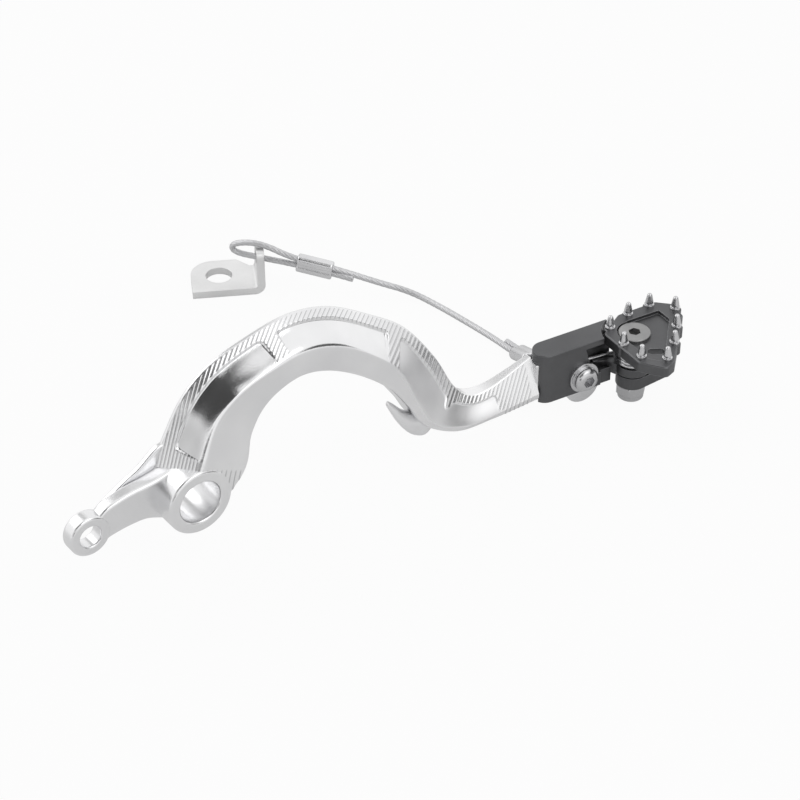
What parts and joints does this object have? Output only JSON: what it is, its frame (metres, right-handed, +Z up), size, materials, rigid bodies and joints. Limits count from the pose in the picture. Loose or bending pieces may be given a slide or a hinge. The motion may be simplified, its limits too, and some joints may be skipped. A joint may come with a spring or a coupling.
{
  "type": "rear brake pedal",
  "caption": "Arched aluminium motorcycle brake pedal with a sprung folding tip of grip studs, a push-rod lug behind the pivot and a wire safety cable on a frame bracket.",
  "frame": {"origin": "middle of the pivot bore, on its axis", "axes": "+X forward from the pivot to the tip, +Y inboard along the pivot axis, +Z up"},
  "size_m": [0.2502, 0.1883, 0.0802],
  "materials": {
    "arm_metal": "machined satin with polished panels",
    "dark_metal": "dark grey anodised",
    "bright_steel": "zinc plated",
    "spring_steel": "drawn wire",
    "nylon": "moulded",
    "wire_rope": "galvanised strands",
    "ferrule_metal": "crimped",
    "zinc_steel": "zinc plated"
  },
  "bodies": {
    "pedal": {"pedal_arm": "arm_metal", "tip_carrier": "dark_metal", "carrier_screw": "bright_steel", "fold_spring": "spring_steel", "safety_cable": "wire_rope", "cable_ferrule_bracket": "ferrule_metal", "cable_ferrule_pedal": "ferrule_metal", "cable_bracket": "zinc_steel"},
    "tip": {"foot_tip": "dark_metal", "tip_tooth_1": "bright_steel", "tip_tooth_2": "bright_steel", "tip_tooth_3": "bright_steel", "tip_tooth_4": "bright_steel", "tip_tooth_5": "bright_steel", "tip_tooth_6": "bright_steel", "tip_tooth_7": "bright_steel", "tip_tooth_8": "bright_steel", "tip_tooth_9": "bright_steel", "pivot_bolt": "bright_steel", "pivot_sleeve": "bright_steel", "pivot_nut": "bright_steel", "nut_insert": "nylon"}
  },
  "joints": [
    {"name": "tip_fold", "type": "hinge", "parent": "pedal", "child": "tip", "pos_m": [0.18132, -0.01996, -0.0135], "axis": [0, 0, -1], "range_deg": [0, 40], "stiffness_Nm_per_rad": 0.5, "springref_deg": -34.38, "deforming": ["fold_spring"]}
  ]
}
